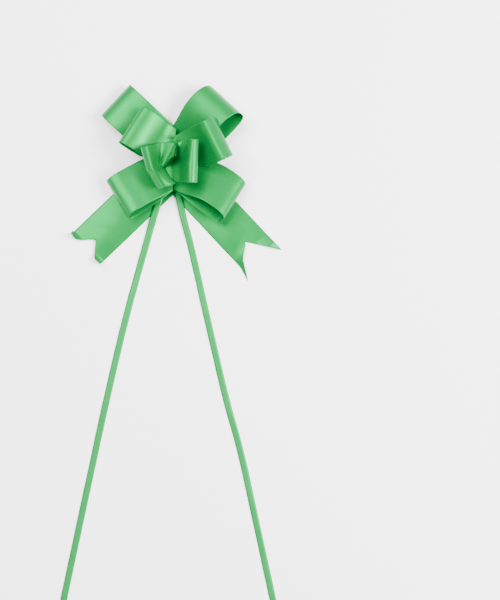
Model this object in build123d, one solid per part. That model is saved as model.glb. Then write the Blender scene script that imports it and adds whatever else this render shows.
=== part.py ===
from build123d import *
import math
import os

# A pull-string gift bow, pulled up and lying on its back. Two wide ribbons lie face to face and are
# spot-welded together at five stations, with two narrow pull strings in the channel between the spots.
# Pulling the strings stacks the welds on one vertical line, the gather, and every stretch of ribbon
# between two welds bulges out as a loop: one to the left and one to the right.
# Millimetres. +Z is up, out of the surface that the bow lies on. The origin is where the gather meets
# that surface. The strings run away towards -Y.

os.makedirs("parts", exist_ok=True)

# ---- driving dimensions ----
ribbon = 30.0            # width of the wide ribbon
film = 0.3               # thickness of the solid that stands for the thin film
string_width = 4.8       # width of a pull string
string_film = 0.4
half = ribbon / 2

seam = 0.4               # the loops end this far from the middle plane of the gather
tab = (8.7, 15.0)        # each weld's two fused tabs, measured along the weld from its middle
tab_height = 1.6
foot = (1.6, 9.0, 0.5)   # the flattened end of the gather below the lowest weld, which lies flat

# Height of each weld above the surface and how far its middle is from the gather line, along Y.
weld_height = {1: 16.6, 2: 12.4, 3: 8.2, 4: 4.0, 5: 0.8}
weld_shift = {1: 3.0, 2: 4.0, 3: -4.9, 4: 6.1, 5: 0.0}

# Each loop: azimuth of its outward direction in degrees, where its middle line crosses X = 0, and its
# side profile as (distance out, height) corners from the lower weld round the fold to the upper weld.
# neck: the two ends of its root along Y, and how far out each edge reaches its full width.
# lean: turn about one long edge, and which edge (1 is the left one, looking outwards).
# A loop runs on past the gather as far as its root, and is cut off at the gather's middle plane.
root = -26.0
loops = {
    "loop_1_left": dict(
        azimuth=137.0, cross=3.3, neck=(5.0, 21.9, 36.0, 2.0), lean=(0.0, 1),
        side=[(root, 0.25), (58.2, 0.25), (58.2, 13.6), (34.0, 13.6), (9.0, 4.0), (root, 4.0)]),
    "loop_1_right": dict(
        azimuth=46.2, cross=3.6, neck=(12.0, 21.9, 36.0, 2.0), lean=(13.0, 1),
        side=[(root, 0.25), (54.9, 0.25), (54.9, 15.4), (32.0, 15.4), (9.0, 4.0), (root, 4.0)]),
    "loop_2_left": dict(
        azimuth=212.0, cross=-3.1, neck=(-20.0, -4.5, 4.0, 20.0), lean=(0.0, 1),
        side=[(root, 5.8), (12.0, 5.8), (46.9, 2.6), (46.9, 13.2), (28.0, 13.4), (10.0, 8.2), (root, 8.2)]),
    "loop_2_right": dict(
        azimuth=-33.1, cross=-3.4, neck=(-20.0, -4.5, 4.0, 20.0), lean=(5.0, -1),
        side=[(root, 7.2), (12.0, 7.2), (49.2, 4.6), (49.2, 15.6), (28.0, 15.0), (10.0, 9.6), (root, 9.6)]),
    "loop_3_left": dict(
        azimuth=147.7, cross=4.0, neck=(4.5, 19.0, 24.0, 8.0), lean=(0.0, 1),
        side=[
            (root, 10.0), (8.0, 10.0), (36.2, 18.6), (34.0, 26.0), (21.0, 22.4), (10.0, 12.4), (root, 12.4)]),
    "loop_3_right": dict(
        azimuth=26.0, cross=-1.6, neck=(4.5, 17.0, 24.0, 8.0), lean=(0.0, 1),
        side=[
            (root, 10.0), (6.0, 10.0), (36.4, 27.4), (33.4, 33.0), (20.0, 22.6), (9.0, 12.4), (root, 12.4)]),
    "loop_4_left": dict(
        azimuth=200.5, cross=-3.0, neck=(-17.0, 14.0, 2.0, 2.0), lean=(0.0, 1),
        side=[(root, 14.2), (3.0, 14.2), (19.0, 30.4), (13.7, 35.0), (1.6, 16.6), (root, 16.6)]),
    "loop_4_right": dict(
        azimuth=-2.0, cross=-2.8, neck=(-17.0, 14.0, 2.0, 2.0), lean=(0.0, 1),
        side=[(root, 14.2), (3.0, 14.2), (18.4, 31.0), (12.8, 35.0), (1.6, 16.6), (root, 16.6)]),
}
knee_radius = 12.0       # the softest bend of a loop's side profile
fold_share = 0.47        # share of the shorter run beside a corner that its arc takes up
mask_reach = 140.0       # the prisms that the ribbons are cut to at the gather reach well past them
mask_height = 60.0
mask_margin = 1.0

# Tails: the ends of the ribbons below the lowest weld, with a V notch.
tails = {
    "left_tail": dict(azimuth=223.7, cross=-2.9, tip=90.0, notch=77.0, curl=5.0),
    "right_tail": dict(azimuth=-48.5, cross=-5.0, tip=95.0, notch=74.0, curl=1.5),
}
tail_root = 3.0          # the tails start this far from the middle plane, so that they can swing
tail_neck = (-16.0, -1.0, 14.0, 26.0)
tail_start = -20.0       # a tail's strip runs from here, and is cut off at its root
curl_run = 9.0           # the curled part's length
curl_radius = 14.0
notch_overrun = 6.0      # the notch's cutter reaches this far past the tips

tip_length = 15.0        # the pointed ends of the ribbons above the top weld
tip_gap = 0.1

# Strings: route of each free string from the gather, chosen to lie nearly straight on the surface.
string_gap = 0.02
left_route = [
    (-2.7, -2.0, 2.2), (-7.6, -18.0, 2.2), (-14.4, -38.0, 1.5), (-21.0, -62.0, 0.35),
    (-33.0, -104.0, 0.35), (-47.4, -164.0, 0.35), (-62.8, -236.0, 0.35), (-79.6, -314.0, 0.35),
    (-85.2, -347.0, 0.35),
]
right_route = [
    (2.7, -2.0, 2.2), (1.2, -18.0, 2.2), (5.0, -38.0, 1.5), (11.6, -62.0, 0.35),
    (21.4, -106.0, 0.35), (36.6, -172.0, 0.35), (47.4, -209.0, 0.35), (58.6, -262.0, 0.35),
    (70.1, -314.0, 0.35), (76.4, -347.0, 0.35),
]
string_share = 0.45      # share of the shorter run beside a route's point that its arc takes up
string_bend = 900.0      # the largest arc in a string's route
coil_radius = 25.0       # middle of the turn
coil_wall = 5.0          # room across the loosely laid turn
coil_height = string_width


# ---- shared shapes ----
def corner_radii(points, share, largest):
    """One arc radius for each corner of a route, as large as its two runs allow."""
    radii = []
    for before, here, after in zip(points, points[1:], points[2:]):
        turn = math.radians((here - before).get_angle(after - here))
        shorter = min((here - before).length, (after - here).length)
        radii.append(min(largest, share * shorter / math.tan(turn / 2)))
    return radii


def strip(points, share, largest, width, thickness):
    """A flat strip swept along straight runs joined by tangent arcs."""
    radii = corner_radii(points, share, largest)
    path = FilletPolyline(*points, radius=radii)
    along = path % 0
    across = Vector(0, 0, 1).cross(along)
    start = Plane(origin=path @ 0, x_dir=across, z_dir=along)
    solid = sweep(start * Rectangle(width, thickness), path=path)
    return solid, path.length, radii


def edge_point(azimuth, cross, out, across):
    """A point in plan: so far out along a band, and so far to the left of its middle line."""
    a = math.radians(azimuth)
    return (out * math.cos(a) - across * math.sin(a), cross + out * math.sin(a) + across * math.cos(a))


def plan_mask(azimuth, cross, neck, start):
    """The upright prism that a band keeps to: it narrows from its full width to its root at the gather."""
    low_y, high_y, low_out, high_out = neck
    side = 1 if math.cos(math.radians(azimuth)) > 0 else -1
    margin = half + mask_margin
    # On the right the band's right-hand edge is the lower one in plan, on the left its left-hand edge.
    low_edge = -side * margin
    corners = [
        (side * start, low_y),
        edge_point(azimuth, cross, low_out, low_edge),
        edge_point(azimuth, cross, mask_reach, low_edge),
        edge_point(azimuth, cross, mask_reach, -low_edge),
        edge_point(azimuth, cross, high_out, -low_edge),
        (side * start, high_y),
    ]
    prism = extrude(make_face(Polyline(*corners, close=True)), amount=mask_height, both=True)
    own_side = Pos(side * (mask_reach / 2 + start), 0, 0) * Box(mask_reach, 2 * mask_reach, 2 * mask_height)
    return prism & own_side


# ---- ribbon loops ----
def loop(azimuth, cross, neck, lean, side):
    """A stretch of ribbon that runs out from one weld, round its fold and back to the weld above."""
    points = [Vector(u, 0, z) for u, z in side]
    band, length, _ = strip(points, fold_share, knee_radius, ribbon, film)
    angle, edge = lean
    base = side[1][1]
    pivot = Pos(0, edge * half, base) * Rot(-angle, 0, 0) * Pos(0, -edge * half, -base)
    placed = Pos(0, cross, 0) * Rot(0, 0, azimuth) * pivot * band
    return placed & plan_mask(azimuth, cross, neck, seam), length + 2 * root


# ---- tails ----
def tail(azimuth, cross, tip, notch, curl):
    """A flat end of the ribbon with a V notch, its two points curled up a little."""
    rest = film / 2
    points = [Vector(tail_start, 0, rest), Vector(tip - curl_run, 0, rest), Vector(tip, 0, rest + curl)]
    band, _, _ = strip(points, fold_share, curl_radius, ribbon, film)
    mouth = tip + notch_overrun
    cut = [(notch, 0), (mouth, half + mask_margin), (mouth, -half - mask_margin)]
    wedge = extrude(make_face(Polyline(*cut, close=True)), amount=mask_height, both=True)
    placed = Pos(0, cross, 0) * Rot(0, 0, azimuth) * (band - wedge)
    return placed & plan_mask(azimuth, cross, tail_neck, tail_root)


# ---- welds and pointed ends ----
def weld(number):
    """Two fused tabs, one each side of the channel that the strings pass through."""
    low, high = tab
    height = weld_height[number]
    parts = []
    for end in (-1, 1):
        middle = weld_shift[number] + end * (low + high) / 2
        parts.append(Pos(0, middle, height) * Box(2 * seam, high - low, tab_height))
    if number == 5:
        parts.append(Pos(0, 0, foot[2] / 2) * Box(*foot))
    return Compound(children=parts)


def pointed_end(side):
    """The pointed end of one ribbon, standing up from the top weld."""
    base = weld_height[1] + tab_height / 2
    middle = weld_shift[1]
    outline = [(middle - half, base), (middle, base + tip_length), (middle + half, base)]
    face = make_face(Polyline(*[(y, z) for y, z in outline], close=True))
    plate = extrude(Plane.YZ * face, amount=film)
    return Pos(tip_gap / 2 if side > 0 else -tip_gap / 2 - film, 0, 0) * plate


# ---- strings ----
def string_core(side):
    """A string inside the gather, in the channel between the weld spots."""
    middle = side * (string_gap + film) / 2
    top = weld_height[2] + tab_height / 2
    bottom = 2.0
    return Pos(middle, 0, (top + bottom) / 2) * Box(film, string_width, top - bottom)


def free_string(route):
    """A pull string from the gather to where its end is laid in a turn."""
    points = [Vector(*p) for p in route]
    return strip(points, string_share, string_bend, string_width, string_film)


def coil(route, side):
    """The outer shape of the turn that the rest of the string is laid in, standing on its edge."""
    end, before = Vector(*route[-1]), Vector(*route[-2])
    along = (end - before).normalized()
    inwards = Vector(side * along.Y, -side * along.X, 0)
    middle = end + inwards * coil_radius
    ring = Cylinder(coil_radius + coil_wall / 2, coil_height)
    ring -= Cylinder(coil_radius - coil_wall / 2, coil_height)
    return Pos(middle.X, middle.Y, coil_height / 2) * ring


# ---- write every node ----
nodes = {}
for name, sizes in loops.items():
    nodes[name], length = loop(**sizes)
    print(f"{name}: ribbon from weld to weld {length:.1f} mm")
for name, sizes in tails.items():
    nodes[name] = tail(**sizes)
for number in weld_height:
    nodes[f"weld_{number}"] = weld(number)
nodes["left_pointed_end"] = pointed_end(-1)
nodes["right_pointed_end"] = pointed_end(1)
for name, side, route in (("left", -1, left_route), ("right", 1, right_route)):
    nodes[f"{name}_string_core"] = string_core(side)
    solid, length, radii = free_string(route)
    nodes[f"{name}_string"] = solid
    nodes[f"{name}_string_coil"] = coil(route, side)
    print(f"{name}_string: {length:.1f} mm, radii {[round(r) for r in radii]}")
    print(f"  volume {solid.volume:.1f}, section times length {string_width * string_film * length:.1f}")
for name, shape in nodes.items():
    export_step(shape, f"parts/{name}.step")
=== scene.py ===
import math

import bpy
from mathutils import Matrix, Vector, noise


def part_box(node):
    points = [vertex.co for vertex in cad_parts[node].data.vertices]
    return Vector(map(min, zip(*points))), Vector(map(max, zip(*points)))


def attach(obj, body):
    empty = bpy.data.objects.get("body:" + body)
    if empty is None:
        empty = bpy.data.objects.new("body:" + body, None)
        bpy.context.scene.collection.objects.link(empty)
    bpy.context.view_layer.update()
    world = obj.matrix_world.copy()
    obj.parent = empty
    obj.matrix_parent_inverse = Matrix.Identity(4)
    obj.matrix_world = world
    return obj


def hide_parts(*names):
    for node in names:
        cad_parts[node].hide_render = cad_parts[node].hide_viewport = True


# A pulled-up gift bow of satin ribbon film, lying on its back on a pale surface and seen from above.
# Shapes are worked out in millimetres and put into the scene in metres.

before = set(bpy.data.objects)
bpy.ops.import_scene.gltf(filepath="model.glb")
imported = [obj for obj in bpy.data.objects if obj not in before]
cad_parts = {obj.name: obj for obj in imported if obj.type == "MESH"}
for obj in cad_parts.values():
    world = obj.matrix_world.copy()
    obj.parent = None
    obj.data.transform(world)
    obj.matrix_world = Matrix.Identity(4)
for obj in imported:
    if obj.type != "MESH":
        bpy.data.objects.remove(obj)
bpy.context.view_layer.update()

MM = 0.001
RIBBON = 30.0            # width of the wide ribbon
HALF = RIBBON / 2
FILM = 0.14              # thickness that the film is drawn with
STRING = 4.8             # width of a pull string
SEAM = 0.25              # gap between the two ribbons' roots and the gather's middle plane
FLOOR_GAP = 0.12         # lowest height of a film's middle, so that the film stays above the surface
LEAN = (0.060, -0.112)   # how far a point moves along X and Y for each millimetre of height


# ---------------------------------------------------------------- camera
CAMERA_XY = (0.0536, -0.1000)
CAMERA_HEIGHT = 0.90
VIEW_HEIGHT = 0.4286     # how much of the surface the picture's height covers


def make_camera():
    """Straight above the surface, with the strings running down the picture."""
    data = bpy.data.cameras.new("camera")
    data.sensor_fit = "VERTICAL"
    data.sensor_height = 24.0
    data.lens = data.sensor_height * CAMERA_HEIGHT / VIEW_HEIGHT
    camera = bpy.data.objects.new("camera", data)
    camera.location = (*CAMERA_XY, CAMERA_HEIGHT)
    bpy.context.scene.collection.objects.link(camera)
    bpy.context.scene.camera = camera


make_camera()


# ---------------------------------------------------------------- helpers
def smooth(t):
    """0 up to t = 0, 1 from t = 1, and an even slope in and out between them."""
    t = max(0.0, min(1.0, t))
    return t * t * (3 - 2 * t)


def mix(a, b, t):
    """From a at t = 0 to b at t = 1."""
    return a + (b - a) * t


def leaned(x, y, z):
    """The bow leans down the picture and slightly to the right, in proportion to height."""
    return (x + LEAN[0] * z, y + LEAN[1] * z, z)


UV_MM = 100              # millimetres of film for one unit of UV
RIBBON_UV = 20           # where each kind of film has its middle line in the pattern, in millimetres
STRING_UV = 40
TAIL_UV = 70
POINT_UV = 100


def add_mesh(name, points, faces, uvs, material, body):
    """A mesh piece from millimetre points, with one UV for each point."""
    mesh = bpy.data.meshes.new(name)
    mesh.from_pydata([Vector(p) * MM for p in points], [], faces)
    layer = mesh.uv_layers.new(name="film")
    for loop in mesh.loops:
        layer.data[loop.index].uv = uvs[loop.vertex_index]
    mesh.polygons.foreach_set("use_smooth", [True] * len(mesh.polygons))
    mesh.materials.append(material)
    piece = bpy.data.objects.new(name, mesh)
    bpy.context.scene.collection.objects.link(piece)
    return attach(piece, body)


def grid_faces(rows, columns):
    """The four-sided faces of a grid of points that is listed row by row."""
    faces = []
    for r in range(rows - 1):
        for c in range(columns - 1):
            a = r * columns + c
            faces.append((a, a + 1, a + columns + 1, a + columns))
    return faces


def thicken(piece, thickness=FILM):
    """Gives a sheet its thickness, half on each side, with closed edges."""
    solid = piece.modifiers.new("film_thickness", "SOLIDIFY")
    solid.thickness = thickness * MM
    solid.offset = 0.0
    solid.use_rim = True


# ---------------------------------------------------------------- materials
FILM_IOR = 1.7
FILM_TINT = (0.0, 1.0, 0.20, 1.0)    # the sheen is green, as on dyed film
STREAK_SHARE = 0.55                  # how much of the pattern is fine streaks; the rest is soft clouds
RELIEF = 0.00008                     # depth of the streaks in metres


def noise_texture(nodes, scale, detail):
    texture = nodes.new("ShaderNodeTexNoise")
    texture.inputs["Scale"].default_value = scale
    texture.inputs["Detail"].default_value = detail
    return texture


def film_material(name, colour, dark, streak, roughness, bump):
    """Satin polypropylene film: fine streaks along its length, soft sheen and faint handling marks."""
    material = bpy.data.materials.new(name)
    material.use_nodes = True
    nodes, links = material.node_tree.nodes, material.node_tree.links
    shader = nodes["Principled BSDF"]
    place = nodes.new("ShaderNodeUVMap")
    place.uv_map = "film"
    stretch = nodes.new("ShaderNodeMapping")
    stretch.inputs["Scale"].default_value = (*streak, 1.0)
    fine = noise_texture(nodes, 1.0, 5.0)
    fine.inputs["Roughness"].default_value = 0.6
    cloud = noise_texture(nodes, 9.0, 3.0)
    links.new(place.outputs["UV"], stretch.inputs["Vector"])
    links.new(stretch.outputs["Vector"], fine.inputs["Vector"])
    links.new(place.outputs["UV"], cloud.inputs["Vector"])
    cloud_part = nodes.new("ShaderNodeMath")
    cloud_part.operation = "MULTIPLY"
    cloud_part.inputs[1].default_value = 1 - STREAK_SHARE
    links.new(cloud.outputs["Fac"], cloud_part.inputs[0])
    pattern = nodes.new("ShaderNodeMath")
    pattern.operation = "MULTIPLY_ADD"
    pattern.inputs[1].default_value = STREAK_SHARE
    links.new(fine.outputs["Fac"], pattern.inputs[0])
    links.new(cloud_part.outputs["Value"], pattern.inputs[2])
    ramp = nodes.new("ShaderNodeValToRGB")
    ramp.color_ramp.elements[0].position = 0.32
    ramp.color_ramp.elements[0].color = (*dark, 1.0)
    ramp.color_ramp.elements[1].position = 0.68
    ramp.color_ramp.elements[1].color = (*colour, 1.0)
    links.new(pattern.outputs["Value"], ramp.inputs["Fac"])
    links.new(ramp.outputs["Color"], shader.inputs["Base Color"])
    rough = nodes.new("ShaderNodeMapRange")
    rough.inputs["To Min"].default_value, rough.inputs["To Max"].default_value = roughness
    links.new(pattern.outputs["Value"], rough.inputs["Value"])
    links.new(rough.outputs["Result"], shader.inputs["Roughness"])
    relief = nodes.new("ShaderNodeBump")
    relief.inputs["Strength"].default_value = bump
    relief.inputs["Distance"].default_value = RELIEF
    links.new(fine.outputs["Fac"], relief.inputs["Height"])
    links.new(relief.outputs["Normal"], shader.inputs["Normal"])
    shader.inputs["IOR"].default_value = FILM_IOR
    shader.inputs["Specular Tint"].default_value = FILM_TINT
    return material


GREEN = (0.0002, 0.135, 0.0270)
GREEN_DARK = (0.0001, 0.106, 0.0190)
STRING_GREEN = (0.008, 0.165, 0.038)
STRING_GREEN_DARK = (0.003, 0.135, 0.028)
WELD_GREEN = (0.004, 0.20, 0.03)
ribbon_film = film_material("ribbon_film", GREEN, GREEN_DARK, (4.0, 260.0), (0.31, 0.44), 0.35)
string_film = film_material(
    "string_film", STRING_GREEN, STRING_GREEN_DARK, (5.0, 420.0), (0.34, 0.48), 0.35)
weld_film = film_material("weld_film", WELD_GREEN, GREEN, (60.0, 60.0), (0.18, 0.30), 0.3)


# ---------------------------------------------------------------- pull strings
LEFT_ROUTE = [
    (-0.0027, -0.0020, 0.0022), (-0.0076, -0.0180, 0.0022), (-0.0144, -0.0380, 0.0015),
    (-0.0210, -0.0620, 0.00035), (-0.0330, -0.1040, 0.00035), (-0.0474, -0.1640, 0.00035),
    (-0.0628, -0.2360, 0.00035), (-0.0796, -0.3140, 0.00035), (-0.0840, -0.3385, 0.0015),
]
RIGHT_ROUTE = [
    (0.0027, -0.0020, 0.0022), (0.0012, -0.0180, 0.0022), (0.0050, -0.0380, 0.0015),
    (0.0116, -0.0620, 0.00035), (0.0214, -0.1060, 0.00035), (0.0366, -0.1720, 0.00035),
    (0.0474, -0.2090, 0.00035), (0.0586, -0.2620, 0.00035), (0.0701, -0.3140, 0.00035),
    (0.0748, -0.3385, 0.0015),
]
LYING_Z = 0.35 * MM                  # height of a string's middle where it lies flat
ON_EDGE_Z = (STRING / 2 + 0.35) * MM  # the same where it stands on its edge
TURN_STARTS_Y = -0.300               # a string is turned on its edge only beyond this
TURN_RADIUS = 0.025                  # of the one turn that its put-away length is laid in
TURN_POINTS = 14                     # points in a whole turn
TURN_SHARE = 0.90                    # how much of a turn it takes
WIND_IN = 0.0012                     # how much the radius shrinks along it
STRING_FILM = 0.12                   # thickness that a string is drawn with
CUP = 0.00012                        # how far a string's middle line stands out from its edges


def turn_points(side, centre):
    """The put-away end of a string: most of one turn that winds inwards a little, standing on its edge."""
    points = []
    steps = int(TURN_POINTS * TURN_SHARE)
    for k in range(steps + 1):
        angle = 2 * math.pi * k / TURN_POINTS
        radius = TURN_RADIUS - WIND_IN * k / steps
        x = centre[0] + side * radius * math.cos(angle)
        y = centre[1] - radius * math.sin(angle)
        points.append((x, y, ON_EDGE_Z))
    return points


def spline_points(name, route):
    """Points along the smooth curve that has the route as its control points."""
    curve = bpy.data.curves.new(name, "CURVE")
    curve.dimensions = "3D"
    spline = curve.splines.new("NURBS")
    spline.points.add(len(route) - 1)
    for point, place in zip(spline.points, route):
        point.co = (*place, 1.0)
    spline.order_u = 3
    spline.use_endpoint_u = True
    spline.resolution_u = 16
    holder = bpy.data.objects.new(name, curve)
    mesh = bpy.data.meshes.new_from_object(holder)
    points = [v.co.copy() for v in mesh.vertices]
    bpy.data.objects.remove(holder)
    bpy.data.meshes.remove(mesh)
    return points


def string_strip(name, route, node, coil_node):
    """A narrow flat string: it lies flat along its route and is turned on its edge for the put-away turn."""
    side = -1 if name.startswith("left") else 1
    low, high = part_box(coil_node)
    centre = ((low.x + high.x) / 2, (low.y + high.y) / 2)
    path = spline_points(name, route + turn_points(side, centre))
    points, uvs = [], []
    columns = 5
    travelled = 0.0
    for k, here in enumerate(path):
        before, after = path[max(k - 1, 0)], path[min(k + 1, len(path) - 1)]
        along = (after - before).normalized()
        flat = Vector((0, 0, 1)).cross(along).normalized()
        upright = along.cross(flat)
        travelled += (here - before).length
        ripple = 4.0 * math.sin(travelled * 95.0 + side) + 2.0 * math.sin(travelled * 231.0)
        raised = (here.z - LYING_Z) / (ON_EDGE_Z - LYING_Z) if here.y < TURN_STARTS_Y else 0.0
        raised = max(0.0, min(1.0, raised))
        angle = math.asin(raised) + math.radians(ripple) * (1 - raised)
        across = flat * math.cos(angle) + upright * math.sin(angle)
        for column in range(columns):
            v = column / (columns - 1) * 2 - 1
            place = here + across * (v * STRING / 2 * MM) + upright * (CUP * (1 - v * v))
            points.append(place / MM)
            uvs.append((travelled * 10, (v * STRING / 2 + STRING_UV) / UV_MM))
    piece = add_mesh(name + "_film", points, grid_faces(len(path), columns), uvs, string_film, "root")
    thicken(piece, STRING_FILM)
    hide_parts(node, coil_node)
    return piece


string_strip("left_string", LEFT_ROUTE, "left_string", "left_string_coil")
string_strip("right_string", RIGHT_ROUTE, "right_string", "right_string_coil")


# ---------------------------------------------------------------- ribbon loops
TWIST_SHARE = 0.62       # share of its reach by which a loop has its whole twist
FOLD_SHARE = 0.9         # beyond this share of its reach, a loop's band counts as its fold
PLEATS = 4.6             # half waves of the gathers, counted from a band's middle line to its edge
WANDER = 0.3             # how unevenly a loop's film lies
CURVE_STEPS = 60         # points that a side profile's curve is measured with, for each of its corners


def profile(corners, count):
    """Evenly spaced points of the quadratic B-spline that these corners control, and its length."""
    inner = corners[1:-1]
    pieces = []
    start = corners[0]
    for k, corner in enumerate(inner):
        if k < len(inner) - 1:
            following = inner[k + 1]
            end = ((corner[0] + following[0]) / 2, (corner[1] + following[1]) / 2)
        else:
            end = corners[-1]
        pieces.append((start, corner, end))
        start = end
    dense = []
    for a, b, c in pieces:
        for k in range(CURVE_STEPS):
            t = k / CURVE_STEPS
            dense.append(tuple(
                (1 - t) ** 2 * a[i] + 2 * t * (1 - t) * b[i] + t * t * c[i] for i in (0, 1)))
    dense.append(corners[-1])
    lengths = [0.0]
    for a, b in zip(dense, dense[1:]):
        lengths.append(lengths[-1] + math.dist(a, b))
    total = lengths[-1]
    points = []
    k = 0
    for n in range(count):
        want = total * n / (count - 1)
        while k < len(lengths) - 2 and lengths[k + 1] < want:
            k += 1
        t = (want - lengths[k]) / max(lengths[k + 1] - lengths[k], 1e-9)
        points.append(tuple(mix(dense[k][i], dense[k + 1][i], t) for i in (0, 1)))
    return points, total


def loop_band(name, body, azimuth, cross, neck, side, twist=0.0, shear=0.0, lift=0.0, pleat=0.0, kink=None):
    """A ribbon loop: out from one weld, round its fold and back to the next weld.
    azimuth: its outward direction. cross: where its middle line crosses X = 0. neck: the root's two ends
    along Y, and how far out each edge reaches its full width. side: (distance out, height) corners.
    twist: degrees that the loop turns about its middle line. shear: how far its upper layer lies to the
    left of its middle line. lift: how far its outer part is raised. pleat: height of the gathers at its root.
    kink: how one of the top pair's loops is bent further."""
    rows, columns = 97, 41
    a = math.radians(azimuth)
    out = Vector((math.cos(a), math.sin(a)))
    left = Vector((-math.sin(a), math.cos(a)))
    hand = 1 if out.x > 0 else -1
    line, length = profile(side, rows)
    reach = max(u for u, _ in line)
    heights = [z for _, z in line]
    fold_heights = [z for u, z in line if u > FOLD_SHARE * reach]
    root_middle = (side[0][1] + side[-1][1]) / 2
    fold_middle = sum(fold_heights) / len(fold_heights)
    height = max(heights) - min(heights)
    points, uvs = [], []
    for row, (u, z) in enumerate(line):
        far = smooth(u / (TWIST_SHARE * reach))
        middle = mix(root_middle, fold_middle, u / reach)
        angle = math.radians(twist) * far
        for column in range(columns):
            v = column / (columns - 1) * 2 - 1
            w = v * HALF
            high = (1 + hand * v) / 2
            root_y = mix(neck[0], neck[1], high)
            full_out = mix(neck[2], neck[3], high)
            edge_out = (hand * SEAM + w * math.sin(a)) / math.cos(a)
            full_out = max(full_out, edge_out + 2.0, 1.0)
            rise = (z - middle) / height
            lateral = w * math.cos(angle) + (z - middle) * math.sin(angle) + shear * rise * 2 * far
            up = middle + (z - middle) * math.cos(angle) - w * math.sin(angle) + lift * far
            plan = Vector((0, cross)) + out * u + left * lateral
            if u < full_out:
                f = max(u, 0.0) / full_out
                root = Vector((hand * SEAM, root_y))
                full = Vector((0, cross)) + out * full_out + left * w
                plan = root.lerp(full, f).lerp(plan, smooth(f))
                waves = math.cos(math.pi * (PLEATS * v + 0.8 * math.sin(3.1 * v + azimuth)))
                up += pleat * (1 - f) ** 1.3 * waves * smooth(f * 4 + 0.25)
            if kink:
                plan, up = kink(plan, up, u / reach, v, row / (rows - 1))
            up += WANDER * noise.noise(Vector((plan.x * 0.07, plan.y * 0.07, azimuth))) * smooth(u / 12)
            points.append(leaned(plan.x, plan.y, max(up, FLOOR_GAP)))
            uvs.append((length * row / (rows - 1) / UV_MM, (w + RIBBON_UV) / UV_MM))
    piece = add_mesh(name + "_film", points, grid_faces(rows, columns), uvs, ribbon_film, body)
    thicken(piece)
    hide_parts(name)
    return piece


# The top weld is turned about a point near its upper end: from there its line runs down and to the left.
TOP_WELD_Y = 10.0        # where the turned weld's line crosses the middle plane
TOP_WELD_SLOPE = 0.56    # how far it moves along X for each millimetre along Y
TURN_FROM_Z = 14.0       # height at which a loop's root begins to follow the turned weld
TURN_OVER = 2.4          # height over which it does so fully
TURNED_DOWN_TO = -4.0    # Y where the turned root is furthest to the left; from there it comes back
CREASE_V = 0.12          # where the crease runs along the left top loop, from -1 to 1 across it
CREASE_ANGLE = 15.0      # how much further round its part below the crease is turned
CREASE_DROP = 12.0       # how far that part's edge drops
CREASE_ROOT_Z = 17.0     # height of the creased layer at its root


def turned_y_shift(y):
    """How far the turned top weld's line lies along X at this Y."""
    return TOP_WELD_SLOPE * (y - TOP_WELD_Y)


def turned_root(plan, up, share, end):
    """A root's place once the top weld is turned: to the left going down, then back until end."""
    turned = smooth((up - TURN_FROM_Z) / TURN_OVER) * (1 - smooth(share * 1.15))
    if plan.y > TURNED_DOWN_TO:
        shift = turned_y_shift(plan.y)
    else:
        shift = turned_y_shift(TURNED_DOWN_TO) * max(0.0, (plan.y - end) / (TURNED_DOWN_TO - end))
    return plan + Vector((shift * turned, 0.0))


def kink_left(plan, up, share, v, along):
    """The lower part of the left top loop is creased and turned a little further round."""
    beyond = max(0.0, v - CREASE_V)
    aside = beyond * HALF * math.tan(math.radians(CREASE_ANGLE)) * smooth(share * 1.6)
    plan = turned_root(plan + Vector((aside, 0.0)), up, share, -17.0)
    up -= beyond * CREASE_DROP * smooth(share * 1.1)
    ramp = CREASE_ROOT_Z + (CREASE_ROOT_Z - beyond * CREASE_DROP) * share
    return plan, mix(up, ramp, smooth(beyond * 3.5) * smooth((along - 0.5) / 0.12))


def kink_right(plan, up, share, _v, _along):
    """The right top loop only follows the turned weld."""
    return turned_root(plan, up, share, -40.0), up


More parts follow.
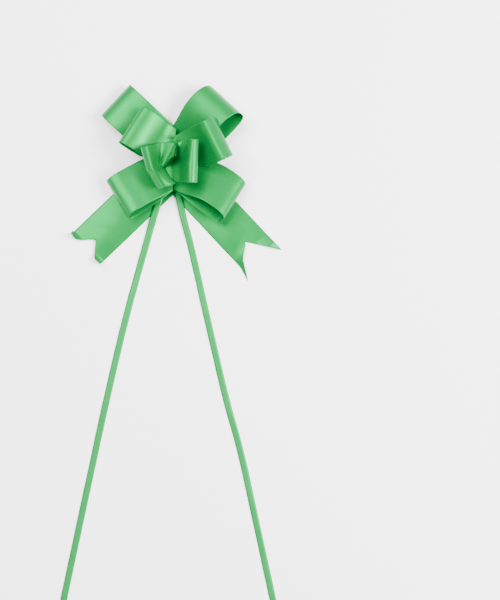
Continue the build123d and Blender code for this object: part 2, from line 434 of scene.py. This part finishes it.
LOOPS = {
    "loop_1_left": dict(
        body="root", azimuth=137.0, cross=3.3, neck=(5.0, 22.5, 36.0, 2.0), pleat=0.9,
        side=[(0, 0.35), (57.6, 0.35), (57.6, 13.6), (34.0, 14.2), (8.0, 3.8), (0, 4.0)]),
    "loop_1_right": dict(
        body="root", azimuth=46.2, cross=3.6, neck=(10.0, 22.5, 36.0, 2.0), pleat=0.9,
        twist=18.0, shear=2.8, lift=4.2,
        side=[(0, 0.8), (52.6, 0.0), (53.2, 16.6), (34.0, 17.4), (8.0, 3.8), (0, 4.0)]),
    "loop_2_left": dict(
        body="layer_2", azimuth=212.0, cross=-3.1, neck=(-20.0, -4.5, 4.0, 20.0), pleat=0.9,
        twist=-10.0, shear=-1.0, lift=1.6,
        side=[(0, 5.8), (47.6, 2.0), (47.6, 13.0), (41.0, 15.0), (33.0, 13.4), (26.0, 12.2),
              (10.0, 8.2), (0, 8.2)]),
    "loop_2_right": dict(
        body="layer_2", azimuth=-33.1, cross=-3.4, neck=(-20.0, -4.5, 4.0, 20.0), pleat=0.9,
        twist=19.0, shear=2.0, lift=1.8,
        side=[(0, 7.2), (41.0, 4.2), (49.4, 4.6), (49.6, 15.8), (28.0, 16.4), (10.0, 9.6), (0, 9.4)]),
    "loop_3_left": dict(
        body="layer_3", azimuth=147.7, cross=5.1, neck=(4.5, 19.0, 24.0, 8.0), pleat=0.8,
        twist=-7.0, shear=-1.0,
        side=[(0, 10.0), (38.0, 18.4), (36.0, 26.4), (22.0, 22.8), (10.0, 12.4), (0, 12.4)]),
    "loop_3_right": dict(
        body="layer_3", azimuth=26.0, cross=0.6, neck=(3.6, 12.5, 24.0, 10.0), pleat=0.7, twist=2.0,
        side=[(0, 10.0), (6.5, 10.4), (37.6, 24.4), (37.2, 29.6), (28.6, 35.6), (20.8, 22.4),
              (9.0, 12.4), (0, 12.4)]),
    "loop_4_left": dict(
        body="layer_4", azimuth=195.0, cross=-0.6, neck=(-17.0, 12.0, 6.0, 6.0), kink=kink_left,
        side=[(0, 14.2), (4.0, 14.6), (20.4, 30.4), (20.6, 33.6), (16.0, 36.6), (14.6, 33.6),
              (9.0, 15.6), (0, 16.6)]),
    "loop_4_right": dict(
        body="layer_4", azimuth=-2.0, cross=-0.1, neck=(-4.5, 12.0, 5.5, 6.0), kink=kink_right,
        side=[(0, 14.2), (2.6, 15.2), (15.8, 32.0), (15.8, 34.8), (11.2, 37.4), (9.6, 34.4),
              (6.4, 15.8), (0, 16.6)]),
}
for loop_name, sizes in LOOPS.items():
    loop_band(loop_name, **sizes)


# ---------------------------------------------------------------- tails
TAIL_ROOT_X = 2.7        # how far each tail's root stands off the middle plane
TAIL_ROOT_Y = (-16.0, -1.0)
TAIL_FULL_OUT = (14.0, 26.0)     # how far out its inner and outer edges reach their full width
TAIL_WANDER = 0.5


def tail_band(name, azimuth, cross, tip, notch, crown, seed, bend):
    """A notched end of the ribbon. tip and notch: how far out its points and its notch reach. crown: how far
    its middle line rises above its edges. seed: picks how unevenly its film lies.
    bend(out, across) gives how a point of it moves: (out, across, up)."""
    rows, columns = 81, 33
    a = math.radians(azimuth)
    out = Vector((math.cos(a), math.sin(a)))
    left = Vector((-math.sin(a), math.cos(a)))
    hand = 1 if out.x > 0 else -1
    points, uvs = [], []
    for row in range(rows):
        for column in range(columns):
            v = column / (columns - 1) * 2 - 1
            end = mix(notch, tip, abs(v) ** 1.05)
            u = end * row / (rows - 1)
            w = v * HALF
            high = (1 + hand * v) / 2
            full_out = mix(*TAIL_FULL_OUT, high)
            du, dw, up = bend(u, w)
            up += crown * (1 - v * v) * smooth((u - 26) / 34)
            plan = Vector((0, cross)) + out * (u + du) + left * (w + dw)
            if u < full_out:
                f = u / full_out
                root = Vector((hand * TAIL_ROOT_X, mix(*TAIL_ROOT_Y, high)))
                full = Vector((0, cross)) + out * full_out + left * w
                plan = root.lerp(full, f).lerp(plan, smooth(f))
                up += 0.2 * (1 - f) ** 2 * (1 + math.cos(math.pi * 4 * v))
            up += TAIL_WANDER * abs(noise.noise(Vector((plan.x * 0.06, plan.y * 0.06, seed))))
            points.append((plan.x, plan.y, up + FLOOR_GAP))
            uvs.append((u / UV_MM, (w + TAIL_UV) / UV_MM))
    piece = add_mesh(name + "_film", points, grid_faces(rows, columns), uvs, ribbon_film, name)
    thicken(piece)
    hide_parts(name)
    return piece


def bend_left(u, _w):
    """Both points curl up and back near their ends."""
    curl_from = 84.0
    radius = 4.0
    if u <= curl_from:
        return 0.0, 0.0, 0.0
    angle = (u - curl_from) / radius
    return curl_from + radius * math.sin(angle) - u, 0.0, radius * (1 - math.cos(angle))


def bend_right(u, w):
    """The outer point rises to a crease and slopes down beyond it.
    The inner one folds narrower and turns down."""
    lift_from, crease = 80, 86.5
    fold_from, fold_over = 74, 10
    turn_from = 84
    up = 0.0
    dw = 0.0
    if w > 0 and u > lift_from:
        up = 0.35 * min(u - lift_from, crease - lift_from) - 0.22 * max(0.0, u - crease)
    if w < 0:
        t = smooth((u - fold_from) / fold_over)
        dw = -t * (w + HALF) * 0.5 - 0.25 * max(0.0, u - turn_from)
        up = t * 2.4 * (w + HALF) / HALF
    return 0.0, dw, up


tail_band("left_tail", 223.7, -2.9, 96.0, 78.0, 1.6, 223.7, bend_left)
tail_band("right_tail", -46.8, -5.0, 95.5, 73.5, 1.2, -48.5, bend_right)


# ---------------------------------------------------------------- pointed ends
POINT_HALF = 9.6         # half the gathered root's length
POINT_Y = 3.2            # where its middle is


def pointed_film(name, lean):
    """The pointed end of one ribbon, standing up from the turned top weld and leaning to the right."""
    rows, columns = 25, 41
    low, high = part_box(name)
    base = low.z / MM
    tall = (high.z - low.z) / MM
    side = 1 if name.startswith("right") else -1
    points, uvs = [], []
    for row in range(rows):
        t = row / (rows - 1)
        for column in range(columns):
            v = column / (columns - 1) * 2 - 1
            w = v * (1 - t * 0.999)
            y = POINT_Y + POINT_HALF * w
            x = turned_y_shift(min(y, 11.0)) + side * 0.3
            pleats = 0.5 * math.cos(math.pi * 2.0 * v) * math.sin(math.pi * min(1.0, t + 0.2))
            x += lean * tall * t * (0.5 + 0.5 * t) + pleats
            points.append(leaned(x, y, base - 0.6 + tall * t * 0.98))
            uvs.append((t * tall / UV_MM, (v * HALF + POINT_UV) / UV_MM))
    piece = add_mesh(name + "_film", points, grid_faces(rows, columns), uvs, ribbon_film, "layer_4")
    thicken(piece)
    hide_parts(name)


pointed_film("left_pointed_end", 0.24)
pointed_film("right_pointed_end", 0.30)


# ---------------------------------------------------------------- welds
CHANNEL = 8.7            # half the length of the channel between a weld's two fused tabs
TAB_HALF = 0.40          # half the thickness of the fused tabs
MARK = 0.14              # depth of their press marks
TURNED_LENGTH = 0.62     # how much of its length along Y the turned weld keeps


def weld_piece(number, body, depth, bulge, turned=False):
    """The two ribbons' films pressed face to face, from the weld's top down to depth: fused, with small press
    marks, at both ends, and bulging round the pull strings in between."""
    node = f"weld_{number}"
    low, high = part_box(node)
    middle = (low.y + high.y) / 2 / MM
    reach = (high.y - low.y) / 2 / MM
    top = high.z / MM
    rows, columns = 91, 15
    points, faces, uvs = [], [], []
    for face_side in (-1, 1):
        first = len(points)
        for row in range(rows):
            d = (row / (rows - 1) * 2 - 1) * reach
            open_share = smooth((CHANNEL - abs(d)) / 3.5)
            for column in range(columns):
                z = top - depth * column / (columns - 1)
                inner = 0 < row < rows - 1 and 0 < column < columns - 1 and abs(d) > CHANNEL
                mark = MARK * math.sin(d * 5.0) * math.sin(z * 5.0) if inner else 0.0
                x = face_side * (TAB_HALF + bulge * open_share + mark)
                y = middle + d
                if turned:
                    y = middle + d * TURNED_LENGTH
                    x += turned_y_shift(y) * smooth((z - TURN_FROM_Z) / TURN_OVER)
                points.append(leaned(x, y, z))
                uvs.append(((middle + d) / UV_MM, z / UV_MM))
        for face in grid_faces(rows, columns):
            faces.append(tuple(first + k for k in (face if face_side > 0 else face[::-1])))
    front = rows * columns
    rim = [r * columns for r in range(rows)]
    rim += [(rows - 1) * columns + c for c in range(1, columns)]
    rim += [r * columns + columns - 1 for r in range(rows - 2, -1, -1)]
    rim += list(range(columns - 2, 0, -1))
    for a, b in zip(rim, rim[1:] + rim[:1]):
        faces.append((front + b, front + a, a, b))
    piece = add_mesh(node + "_film", points, faces, uvs, weld_film, body)
    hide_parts(node)


weld_piece(1, "layer_4", 3.7, 0.2, turned=True)
weld_piece(2, "layer_3", 2.9, 1.5)
weld_piece(3, "layer_2", 3.7, 0.7)
weld_piece(4, "root", 3.7, 0.5)


# ---------------------------------------------------------------- CAD pieces that stay
for node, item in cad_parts.items():
    if node == "weld_5":
        item.data.materials.clear()
        item.data.materials.append(weld_film)
    elif node.endswith("core"):
        item.data.materials.clear()
        item.data.materials.append(string_film)


# ---------------------------------------------------------------- surface and light
LIGHT_AIM = (0.0, -0.05, 0.0)


def make_stage():
    """A plain pale surface under the bow."""
    mesh = bpy.data.meshes.new("surface")
    size = 6.0
    corners = [(-size, -size, 0), (size, -size, 0), (size, size, 0), (-size, size, 0)]
    mesh.from_pydata(corners, [], [(0, 1, 2, 3)])
    surface = bpy.data.objects.new("surface", mesh)
    bpy.context.scene.collection.objects.link(surface)
    material = bpy.data.materials.new("pale_surface")
    material.use_nodes = True
    shader = material.node_tree.nodes["Principled BSDF"]
    shader.inputs["Base Color"].default_value = (0.99, 0.99, 0.99, 1.0)
    shader.inputs["Roughness"].default_value = 0.9
    mesh.materials.append(material)


def area_light(name, place, size, power):
    """A square light aimed at the bow."""
    data = bpy.data.lights.new(name, "AREA")
    data.size = size
    data.energy = power
    light = bpy.data.objects.new(name, data)
    light.location = place
    direction = Vector(LIGHT_AIM) - Vector(place)
    light.rotation_euler = direction.to_track_quat("-Z", "Y").to_euler()
    bpy.context.scene.collection.objects.link(light)


def make_light():
    """Even light from all round, and soft lights from the upper left and from the right."""
    world = bpy.data.worlds.new("studio")
    world.use_nodes = True
    world.node_tree.nodes["Background"].inputs["Color"].default_value = (1.0, 1.0, 1.0, 1.0)
    world.node_tree.nodes["Background"].inputs["Strength"].default_value = 0.9
    bpy.context.scene.world = world
    area_light("soft_key", (-0.42, 0.38, 1.2), 0.8, 44.0)
    area_light("soft_fill", (0.85, -0.1, 0.9), 0.5, 48.0)


make_stage()
make_light()
